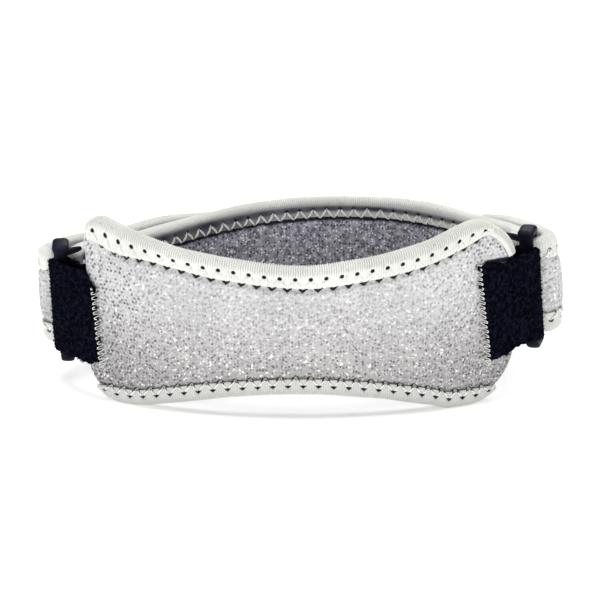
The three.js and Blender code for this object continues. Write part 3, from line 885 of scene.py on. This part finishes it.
# Of the tape's colours, the rib colour is painted shade in the grooves between ribs, the one low down
# painted shade towards the floor, and the near-black navy one painted shade inside the loop.
TAPE_COLOURS = Values(
    body=colour(0.72, 0.727, 0.685), pale=colour(0.80, 0.807, 0.77), rib=colour(0.42, 0.42, 0.39),
    speck=colour(0.42, 0.42, 0.40), rubbed=colour(0.50, 0.50, 0.485),
    groove=colour(0.03, 0.028, 0.055), hole=colour(0.006, 0.006, 0.010),
)
THREAD_COLOURS = colour(0.72, 0.72, 0.67), colour(0.90, 0.90, 0.87)
PILE_COLOURS = colour(0.001, 0.0011, 0.0032), colour(0.009, 0.0098, 0.022)
PLASTIC_COLOURS = colour(0.003, 0.0036, 0.009), colour(0.013, 0.015, 0.032)
PAPER_COLOURS = colour(0.92, 0.92, 0.92), colour(0.95, 0.95, 0.95)
BLACK, WHITE = colour(0, 0, 0), colour(1, 1, 1)
# A finish's fine grain, features to a metre and their depth in metres; then patches to a metre.
GRAIN = Values(
    knit=(1300, 0.0003), tape=(1100, 0.00014), thread=(2600, 0.0001), pile=(900, 0.0004),
    plastic=(1400, 0.00005),
)
PATCHES = Values(knit=60, mottle=520, dots=1050, tape=70, wear=240, paper=300)


def set_inputs(tree, node, **inputs):
    """Links or sets a node's inputs, by their names or by i and their number."""
    for key, value in inputs.items():
        numbered = key[1:].isdigit()
        socket = node.inputs[int(key[1:]) if numbered else key.replace("_", " ")]
        if isinstance(value, bpy.types.NodeSocket):
            tree.links.new(value, socket)
        else:
            socket.default_value = value


def add(tree, kind, settings=(), **inputs):
    """A node with its settings and its inputs."""
    node = tree.nodes.new(kind)
    for key, value in dict(settings).items():
        setattr(node, key, value)
    set_inputs(tree, node, **inputs)
    return node


def times(tree, first, second):
    return add(tree, "ShaderNodeMath", {"operation": "MULTIPLY"}, i0=first, i1=second).outputs[0]


def ramp(tree, value, low, high):
    """Zero below low, one above high, smooth between."""
    node = add(
        tree, "ShaderNodeMapRange", {"interpolation_type": "SMOOTHSTEP"},
        Value=value, From_Min=low, From_Max=high,
    )
    return node.outputs["Result"]


def mix(tree, factor, first, second):
    node = add(tree, "ShaderNodeMix", {"data_type": "RGBA"}, i0=factor, i6=first, i7=second)
    return node.outputs[2]


def mark(tree, name):
    """A value that the piece's mesh carries."""
    return add(tree, "ShaderNodeAttribute", {"attribute_name": name}).outputs["Fac"]


def noise(tree, place, per_metre, detail=3.0):
    node = add(tree, "ShaderNodeTexNoise", Vector=place, Scale=per_metre, Detail=detail)
    return node.outputs["Fac"]


def new_group(name, inputs, outputs):
    """A node group with sockets of the given names and kinds, and its ends inside."""
    group = bpy.data.node_groups.new(name, "ShaderNodeTree")
    for way, sockets in (("INPUT", inputs), ("OUTPUT", outputs)):
        for key, kind in sockets.items():
            group.interface.new_socket(key, in_out=way, socket_type=f"NodeSocket{kind}")
    return group, group.nodes.new("NodeGroupInput").outputs, group.nodes.new("NodeGroupOutput")


def grain_group():
    """Fine fibre or grain: how far it stands out at a place, and the normal that it gives."""
    group, given, result = new_group(
        "fine_grain", {"Place": "Vector", "Per Metre": "Float", "Depth": "Float"},
        {"Grain": "Float", "Normal": "Vector"},
    )
    grain = noise(group, given["Place"], given["Per Metre"])
    bump = add(group, "ShaderNodeBump", Height=grain, Distance=given["Depth"], Strength=1.0)
    set_inputs(group, result, Grain=grain, Normal=bump.outputs["Normal"])
    return group


def low_shade_group():
    """Painted shade: cloth darker towards the floor: how far it is darkened at a place."""
    group, given, result = new_group(
        "painted_low_shade", {"Place": "Vector", "Most": "Float"}, {"Rubbed": "Float"},
    )
    height = add(group, "ShaderNodeSeparateXYZ", i0=given["Place"]).outputs["Z"]
    low_down = ramp(group, height, LOW_SHADE.from_height * MM, LOW_SHADE.to_height * MM)
    set_inputs(group, result, Rubbed=times(group, low_down, given["Most"]))
    return group


FINE_GRAIN = grain_group()
LOW_SHADE_GROUP = low_shade_group()


def new_material(name):
    """A material, with its node tree, its shader and the place on the piece."""
    material = bpy.data.materials.new(name)
    material.use_nodes = True
    tree = material.node_tree
    here = add(tree, "ShaderNodeTexCoord").outputs["Object"]
    return material, tree, tree.nodes["Principled BSDF"], here


def fine_grain(tree, here, per_metre, depth):
    node = add(
        tree, "ShaderNodeGroup", {"node_tree": FINE_GRAIN},
        Place=here, Per_Metre=per_metre, Depth=depth,
    )
    return node.outputs["Grain"], node.outputs["Normal"]


def painted_low_shade(tree, here):
    node = add(tree, "ShaderNodeGroup", {"node_tree": LOW_SHADE_GROUP}, Place=here, Most=LOW_SHADE.most)
    return node.outputs["Rubbed"]


def flecks(tree, here):
    """Stray fibres, one to a cell: how far a spot is a dark one, and how far a white one."""
    cells = add(tree, "ShaderNodeTexVoronoi", Vector=here, Scale=FLECK.per_metre)
    draw = add(tree, "ShaderNodeSeparateColor", i0=cells.outputs["Color"]).outputs[0]
    away = cells.outputs["Distance"]
    dark = times(tree, ramp(tree, away, 0.50, 0.26), ramp(tree, draw, 0.56, 0.38))
    white = times(tree, ramp(tree, away, 0.44, 0.2), ramp(tree, draw, 0.54, 0.70))
    return dark, white


def knit_material():
    """Heathered loop knit: pale grey loops with stray dark and white fibres, and painted shade
    between the loops, inside the loop, towards the floor and along the seams.
    """
    material, tree, shader, here = new_material("heathered_knit")
    loop, tone, sewn, speck, inside = (
        mark(tree, name) for name in ("loop", "tone", "sewn", "speck", "inside")
    )
    dye = KNIT_COLOURS
    fibre, normal = fine_grain(tree, here, *GRAIN.knit)
    patch = noise(tree, here, PATCHES.knit, 2.0)
    mottle = noise(tree, here, PATCHES.mottle, 2.0)
    fine = noise(tree, here, PATCHES.dots, 1.0)
    body = mix(tree, ramp(tree, patch, 0.3, 0.7), dye.body, dye.pale)
    # Painted shade: the faces inside the loop take darker colours.
    inside_shade_tone = mix(tree, ramp(tree, mottle, 0.35, 0.65), dye.lining, dye.pale_lining)
    shaded_inside = mix(tree, inside, body, inside_shade_tone)
    # Painted shade in the hollows between the loops.
    shaded = mix(tree, ramp(tree, loop, 0.9, 0.0), shaded_inside, dye.between)
    # Painted shade towards the floor.
    rubbed = mix(tree, painted_low_shade(tree, here), shaded, dye.rubbed)
    dotted = mix(tree, ramp(tree, fine, 0.42, 0.28), rubbed, dye.dot)
    lively = mix(tree, ramp(tree, fine, 0.60, 0.74), dotted, dye.bright)
    lit = mix(tree, ramp(tree, tone, 0.1, 0.8), lively, dye.white)
    hole = times(tree, ramp(tree, tone, -0.05, -0.75), ramp(tree, fibre, 0.25, 0.42))
    holed = mix(tree, hole, lit, dye.hole)
    dark, white = flecks(tree, here)
    flecked = mix(tree, times(tree, dark, speck), holed, dye.fleck)
    # Painted shade: fuller white flecks on the faces inside the loop.
    half_outside = add(tree, "ShaderNodeMath", {"operation": "MAXIMUM"}, i0=inside, i1=0.5)
    white_speck = times(tree, speck, half_outside.outputs[0])
    salted = mix(tree, times(tree, white, white_speck), flecked, dye.white)
    # Painted shade along the seams: the crease beside each tape, the stitch pulls and the line above
    # the right tie.
    seam_shaded = mix(tree, ramp(tree, sewn, 0.12, 0.6), salted, dye.seam)
    set_inputs(
        tree, shader, Base_Color=seam_shaded, Normal=normal, Roughness=0.95, Sheen_Weight=0.15,
        Sheen_Roughness=0.6, Specular_IOR_Level=0.2,
    )
    return material


def binding_material():
    """Ribbed cream edge tape, black in the needle holes, with painted shade in its rib grooves,
    at the stitch pulls, inside the loop and towards the floor.
    """
    material, tree, shader, here = new_material("ribbed_edge_tape")
    rib, shade, holes_and_pulls = (mark(tree, name) for name in ("rib", "shade", "hole"))
    dye = TAPE_COLOURS
    fibre, normal = fine_grain(tree, here, *GRAIN.tape)
    patch = noise(tree, here, PATCHES.tape, 2.0)
    body = mix(tree, ramp(tree, patch, 0.35, 0.7), dye.body, dye.pale)
    # Painted shade in the grooves between the tape's ribs.
    rib_shaded = mix(tree, times(tree, ramp(tree, rib, 0.6, 0.0), 0.75), body, dye.rib)
    worn = mix(tree, times(tree, ramp(tree, fibre, 0.40, 0.28), 0.7), rib_shaded, dye.speck)
    # Painted shade towards the floor.
    rubbed = mix(tree, painted_low_shade(tree, here), worn, dye.rubbed)
    # Painted shade on the tape inside the loop.
    tape_shaded = mix(tree, shade, rubbed, dye.groove)
    # Needle holes, and painted shade at the stitch pulls.
    holed = mix(tree, ramp(tree, holes_and_pulls, 0.22, 0.5), tape_shaded, dye.hole)
    set_inputs(
        tree, shader, Base_Color=holed, Normal=normal, Roughness=0.8, Sheen_Weight=0.1,
        Specular_IOR_Level=0.25,
    )
    return material


def thread_material():
    """Cream sewing thread, paler on its twist."""
    material, tree, shader, here = new_material("cream_thread")
    twist, normal = fine_grain(tree, here, *GRAIN.thread)
    tone = mix(tree, ramp(tree, twist, 0.35, 0.65), *THREAD_COLOURS)
    set_inputs(tree, shader, Base_Color=tone, Normal=normal, Roughness=0.6)
    return material


def pile_material():
    """Near-black loop pile with a navy cast."""
    material, tree, shader, here = new_material("black_loop_pile")
    tuft, normal = fine_grain(tree, here, *GRAIN.pile)
    tone = mix(tree, ramp(tree, tuft, 0.4, 0.72), *PILE_COLOURS)
    set_inputs(
        tree, shader, Base_Color=tone, Normal=normal, Roughness=0.95, Specular_IOR_Level=0.02,
    )
    return material


def plastic_material():
    """Moulded black plastic with a fine grain and paler worn spots."""
    material, tree, shader, here = new_material("moulded_black_plastic")
    _, normal = fine_grain(tree, here, *GRAIN.plastic)
    wear = noise(tree, here, PATCHES.wear)
    tone = mix(tree, ramp(tree, wear, 0.4, 0.75), *PLASTIC_COLOURS)
    polish = add(tree, "ShaderNodeMapRange", Value=wear, To_Min=0.45, To_Max=0.6).outputs["Result"]
    set_inputs(
        tree, shader, Base_Color=tone, Normal=normal, Roughness=polish, Specular_IOR_Level=0.08,
    )
    return material


def floor_material():
    """White paper with a soft tooth, glowing round the strap as painted light."""
    material, tree, shader, here = new_material("white_paper")
    tone = mix(tree, noise(tree, here, PATCHES.paper), *PAPER_COLOURS)
    oval = add(tree, "ShaderNodeVectorMath", {"operation": "MULTIPLY"}, i0=here, i1=GLOW.oval)
    middle = add(tree, "ShaderNodeVectorMath", {"operation": "LENGTH"}, i0=oval.outputs[0])
    glow = ramp(tree, middle.outputs["Value"], GLOW.start * MM, GLOW.full * MM)
    set_inputs(
        tree, shader, Base_Color=tone, Roughness=0.9, Specular_IOR_Level=0.0,
        Emission_Color=mix(tree, glow, BLACK, WHITE), Emission_Strength=GLOW.strength,
    )
    return material


KNITTED = knit_material()
BINDING_TAPE = binding_material()
THREAD = thread_material()
PILE = pile_material()
PLASTIC = plastic_material()


# Knitted panel and band

def knit(along, height, jitter):
    """Rows of loops with a small dark hole at every join: how high the cloth stands there, from 0
    to 1, and its fleck, from -1, a dark hole, to 1, a white loop."""
    across, up = along / KNIT.across, height / KNIT.up
    here = np.floor(up).astype(int)
    nearest, depth = np.full(along.shape, np.inf), np.zeros(along.shape)
    for row in (here - 1, here, here + 1):
        shifted = across + 0.5 * (row % 2)
        for column in (np.floor(shifted).astype(int) + beside for beside in (-1, 0, 1)):
            cell = row % LATTICE, column % LATTICE
            x = shifted - column - 0.5 - jitter * (lattices[1][cell] - 0.5)
            y = up - row - 0.5 - jitter * (lattices[2][cell] - 0.5)
            away = np.hypot(x * KNIT.across, y * KNIT.up)
            depth = np.where(away < nearest, lattices[3][cell], depth)
            nearest = np.minimum(nearest, away)
    hole = bell(nearest, KNIT.hole)
    patch_along, patch_up = KNIT.patch
    uneven = lattice_noise(4, along / patch_along, height / patch_up)
    dark = hole * smooth(depth * (0.6 + 0.8 * uneven), *KNIT.dark)
    white = smooth(nearest, *KNIT.white) * smooth(lattice_noise(5, along, height), *KNIT.white)
    return 1 - hole, KNIT.white_share * white - dark


def knitted(skin, clear, loop, sewn):
    """A skin with its loops, pressed in where it is sewn and plain under the edge tapes."""
    bare = smooth(clear, *KNIT.bare)
    return skin + bare * (KNIT.height * (loop - KNIT.level) - KNIT.sewn_depth * sewn)


def pad_surface(along, height, face, from_end):
    """The panel's skin: foam swelling between its tapes, dented with painted shadow above the right
    tie.
    """
    bottom, top = pad.edges(along, 0)
    from_rim = np.minimum(height - bottom, top - height)
    swell = smooth(from_rim, CROWN.edge_margin, CROWN.edge_margin + CROWN.edge_run)
    swell = swell * smooth(from_end, CROWN.end_margin, CROWN.end_margin + CROWN.end_run)
    over_low, under_high = (run.clear(along, height) for run in pad_edges)
    clear = np.minimum(over_low, under_high)
    # Painted shadow above the right tie, where the tie stands off the panel.
    tie_shadow = bell(height - TIE_SHADOW.height, TIE_SHADOW.width) * (face > 0)
    tie_shadow = tie_shadow * smooth(PAD.half_length - along, *TIE_SHADOW.from_end)
    sewn = np.maximum(sewn_lines(*pad_edges, along, over_low, under_high), tie_shadow)
    shoulder = PAD_CLOTH.shoulder * smooth(clear, *KNIT.shoulder_run) * (1 - swell)
    shoulder = shoulder * smooth(from_end, *PAD_CLOTH.shoulder_ends)
    ends = smooth(np.abs(along), *PAD_CLOTH.ends)
    loop, tone = knit(along, height, PAD_CLOTH.jitter - PAD_CLOTH.evener * ends)
    patch_along, patch_up = PAD_CLOTH.soft_patch
    soft = lattice_noise(0, along / patch_along + 40, height / patch_up + 9) - 0.5
    swollen = np.where(face > 0, CROWN.outer, CROWN.inner) + PAD_CLOTH.soft * soft
    skin = knitted(PAD.half + swell * swollen + shoulder, clear, loop, sewn)
    # Painted shade: the panel's inner face, inside the loop, is marked for darker colours and full
    # flecks.
    inside = (face < 0).astype(float)
    low_down = 1 - smooth(height, FLECK.to_height, FLECK.from_height)
    speck = np.maximum(PAD_CLOTH.speck + PAD_CLOTH.low_speck * low_down, inside)
    tone = tone * (PAD_CLOTH.tone + (1 - PAD_CLOTH.tone) * ends)
    return skin, {"loop": loop, "tone": tone, "sewn": sewn, "speck": speck, "inside": inside}


def band_surface(along, height, face, from_end):
    """The band's skin: flat knit, painted shade along its seams, faint on the laps, and painted
    shade inside the loop, greyer and flecked.
    """
    bottom, top = band.edges(along, BAND_BINDING.hem)
    over_low = height - bottom - BAND_BINDING.leg
    under_high = top - height - BAND_BINDING.leg
    clear = np.minimum(np.minimum(over_low, under_high), from_end - BAND_BINDING.leg)
    from_fold = band.from_fold(along)
    in_loop = smooth(from_fold, *BAND_CLOTH.loop_run)
    # The seams' painted shade is faint on the laps.
    sewn = BAND_CLOTH.lap_seam + (1 - BAND_CLOTH.lap_seam) * in_loop
    sewn = sewn * sewn_lines(band_rim, band_rim, along, over_low, under_high)
    knit_along, knit_up = BAND_CLOTH.knit_from
    loop, tone = knit(along + knit_along, height + knit_up, BAND_CLOTH.jitter)
    # Painted shade: the band's face inside the loop is marked for darker colours and more flecks.
    inside = smooth(from_fold, *BAND_CLOTH.inside_run) * (face > 0)
    shoulder = BAND_CLOTH.shoulder * smooth(clear, *KNIT.shoulder_run)
    skin = knitted(BAND.half + shoulder, clear, loop, sewn)
    speck = BAND_CLOTH.speck + (1 - BAND_CLOTH.speck) * inside
    tone = BAND_CLOTH.tone * tone
    return skin, {"loop": loop, "tone": tone, "sewn": sewn, "speck": speck, "inside": inside}


pad = pad_strip()
rings = {side.name: ring_frame(side, pad) for side in (LEFT, RIGHT)}
band = band_strip(rings)
pad_edges = [LongEdge(pad, PAD_TAPES[edge], edge) for edge in (0, 1)]
band_rim = Rim(band, BAND_BINDING)

pad_fabric = wall_piece(
    "pad_fabric", pad, PAD_HEM, 0, PAD_CLOTH.spacing, pad_surface,
    KNITTED, ["front_pad"],
)
band_fabric = wall_piece(
    "band_fabric", band, BAND_BINDING.hem, BAND_BINDING.hem, BAND_CLOTH.spacing, band_surface,
    KNITTED, ["back_band"],
)

for run, tape in zip(pad_edges, PAD_TAPES):
    nodes = [f"pad_{tape.name}_binding"]
    binding_piece(f"pad_{tape.name}_edge_tape", pad, tape, run, no_tape_shade, nodes)
    zigzag_pair(f"pad_{tape.name}", pad, tape, run, STITCH.pad_thread)
corner_start = pad_edges[1].along[-1] - CORNER_TAPE.overlap
corner_edge = CornerEdge(pad, corner_start, TIE_SHADOW.rim_end)
binding_piece(
    "pad_corner_edge_tape", pad, CORNER_TAPE, corner_edge, no_tape_shade, ["pad_top_binding"],
)
binding_piece("band_edge_tape", band, BAND_BINDING, band_rim, band_tape_shade, ["band_binding"])
zigzag_pair("band", band, BAND_BINDING, band_rim, STITCH.band_thread)


# Rings, tape ties and hook strips

def ring_piece(side):
    """A moulded rectangular ring with a softly rounded bar, thicker along its top."""
    ring = rings[side.name]
    middle = (ring.front + ring.rear) / 2
    bar, thick = RING.bar / 2, RING.thickness / 2
    half_width, half_height = RING.spacing / 2, RING.height / 2 - bar
    corner = RING.corner - bar
    across, up = half_width - corner, half_height - corner
    quarters = [(across, up), (-across, up), (-across, -up), (across, -up)]
    corners = []
    for quarter, (x, y) in enumerate(quarters):
        turn = np.linspace(0, math.pi / 2, RING.corner_steps) + quarter * math.pi / 2
        way = np.column_stack([np.cos(turn), np.sin(turn)])
        corners.append(np.hstack([(x, y) + corner * way, way]))
    path = np.vstack(corners)

    def shape(u, v, _):
        at = np.round(u * len(path)).astype(int) % len(path)
        x, y, nx, ny = path[at].T
        angle = 2 * math.pi * v
        swell = 1 + RING.top_swell * smooth(y, half_height - RING.swell_run, half_height)
        out = bar * squared(np.cos(angle), RING.squareness)
        out = np.where(out > 0, out * swell, out)
        off = thick * swell * squared(np.sin(angle), RING.squareness)
        back, up = x + nx * out, y + ny * out
        plan = middle + back[:, None] * ring.back + off[:, None] * ring.out
        return at_height(plan, side.ring_middle + up), {}

    return grid_piece(
        f"{side.name}_ring_moulding", len(path), RING.sides, 1, shape, PLASTIC,
        [f"{side.name}_ring"],
    )


def ring_arm(side):
    """The short arm that runs in from the top of a ring's front post and holds the tape down."""
    ring = rings[side.name]
    t = np.linspace(0, 1, ARM.steps)
    plan = ring.front + ARM.length * t[:, None] * np.array([-side.hand * ARM.inwards, ARM.back])
    height = side.ring_middle + RING.height / 2 - ARM.drop + ARM.rise * t
    path = at_height(plan, height)
    radius = ARM.radius * np.sqrt(1 - (t * ARM.tip) ** 4)
    return thread_piece(
        f"{side.name}_ring_arm", path, upright(path), False, ARM.sides, radius,
        PLASTIC,
    )


def pile_surface(along, height, face, from_end):
    """A tie's cloth under its loops, softly uneven."""
    patch_along, patch_up = TAPE.patch
    coarse = lattice_noise(1, along / patch_along, height / patch_up)
    return TAPE.half + TAPE.relief * (coarse - 0.6), {}


def pile_loops(side, tape):
    """Rows of small upright loops on the outside of a tape, one thread running through them all."""
    rows = round(TAPE.height / LOOPS.row)
    per_row = round((tape.end - tape.start) / LOOPS.pitch)
    step = np.arange(rows * per_row * LOOPS.parts)
    row = step // (per_row * LOOPS.parts)
    in_row = (step % (per_row * LOOPS.parts)) / LOOPS.parts
    in_row = np.where(row % 2 == 0, in_row, per_row - in_row)
    sway = lattice_noise(2, in_row * 0.9 + 13 * row, row * 3.0)
    turn = 2 * math.pi * in_row
    along = tape.start + LOOPS.pitch * (in_row + LOOPS.swing * np.sin(turn))
    along = along + LOOPS.stray * (sway - 0.5)
    along = np.clip(along, tape.start, tape.end)
    bottom, top = tape.edges(along, 0)
    leaning = lattice_noise(4, in_row * 1.1, row * 2.0 + 5) - 0.5
    height = bottom + (top - bottom) * (row + 0.5) / rows + LOOPS.row * LOOPS.lean * leaning
    loop = LOOPS.height * (0.5 + 0.7 * sway) * (0.5 - 0.5 * np.cos(turn))
    path = tape.place(along, height, TAPE.half - LOOPS.sunk + loop)
    return thread_piece(
        f"{side.name}_tape_pile", path, upright(path), False, LOOPS.sides, LOOPS.thread,
        PILE,
    )


def overcast_piece(side):
    """Overcast stitches down the front edge of a tape, sewing it to the panel's outer face."""
    low = side.tape_at_pad - TAPE.height / 2 - side.spare_stitches * OVERCAST.pitch
    high = side.tape_at_pad + TAPE.height / 2 - side.top_cut
    count = round((high - low) / OVERCAST.pitch)
    step = np.arange(count * 2 * LEG_STEPS + 1)
    height = low + (high - low) * step / step[-1]
    swing = 2 * np.abs(1 - 2 * np.mod(step / (2 * LEG_STEPS), 1)) - 1
    patchy = lattice_noise(5, height / OVERCAST.patch, height * 0 + side.hand + 3) - 0.5
    leaning = side.hand * side.shear * (height - side.tape_at_pad)
    edge_at = PAD.half_length - side.overlap + side.trim - leaning - OVERCAST.outwards
    along = side.hand * (edge_at + OVERCAST.reach * swing + OVERCAST.uneven * patchy)
    tape_bottom = side.tape_at_pad - TAPE.height / 2
    beside_tape = smooth(height - tape_bottom, -OVERCAST.tape_run, OVERCAST.tape_run)
    on_tape = smooth(swing, *OVERCAST.swing_run) * beside_tape
    sunk = OVERCAST.sunk * bell(from_nearest(step, LEG_STEPS), OVERCAST.needle)
    over_tape = GAP + 2 * TAPE.half + OVERCAST.over_tape
    rise = PAD.half + OVERCAST.clear + on_tape * over_tape - sunk
    path = pad.place(along, height, rise)
    out = pad.place(along, height, rise + 1) - path
    return thread_piece(
        f"{side.name}_overcast", path, out, False, OVERCAST.sides, OVERCAST.thread,
        THREAD,
    )


def hook_surface(along, height, face, from_end):
    """Hook tape, knobbly with rows of hooks."""
    pitch_along, pitch_up = HOOK.knob_pitch
    knobs = np.cos(2 * math.pi * along / pitch_along) * np.cos(2 * math.pi * height / pitch_up)
    return HOOK.half + HOOK.knob * knobs - HOOK.sunk, {}


for side in (LEFT, RIGHT):
    tape = tape_strip(side, rings[side.name], pad)
    ring_piece(side)
    ring_arm(side)
    tape_cloth = wall_piece(
        f"{side.name}_tape_cloth", tape, 0, 0, TIE_SPACING, pile_surface, PILE,
        [f"{side.name}_tape_loop"],
    )
    tape_pile = pile_loops(side, tape)
    overcast_piece(side)
    wall_piece(
        f"{side.name}_hook_tape", hook_strip(side, band), 0, 0, HOOK_SPACING, hook_surface,
        PILE, [f"{side.name}_hook_strip"],
    )


# Floor and light

def make_floor():
    bm = bmesh.new()
    level = Matrix.Translation((0, 0, FLOOR.level * MM))
    bmesh.ops.create_grid(bm, x_segments=8, y_segments=8, size=FLOOR.half_size, matrix=level)
    mesh = bpy.data.meshes.new("floor")
    bm.to_mesh(mesh)
    bm.free()
    mesh.materials.append(floor_material())
    floor = bpy.data.objects.new("floor", mesh)
    bpy.context.scene.collection.objects.link(floor)


def area_light(name, place, size, power):
    data = bpy.data.lights.new(name, "AREA")
    data.shape = "DISK"
    data.size = size
    data.energy = power
    light = bpy.data.objects.new(name, data)
    light.location = Vector(place)
    light.rotation_mode = "QUATERNION"
    light.rotation_quaternion = (TARGET - light.location).to_track_quat("-Z", "Y")
    bpy.context.scene.collection.objects.link(light)


def make_world():
    world = bpy.data.worlds.new("studio")
    world.use_nodes = True
    background = world.node_tree.nodes["Background"]
    background.inputs["Color"].default_value = (1, 1, 1, 1)
    background.inputs["Strength"].default_value = SKY_STRENGTH
    bpy.context.scene.world = world


make_floor()
make_world()
for lamp in LAMPS:
    area_light(*lamp)
bpy.context.scene.view_settings.view_transform = "Standard"
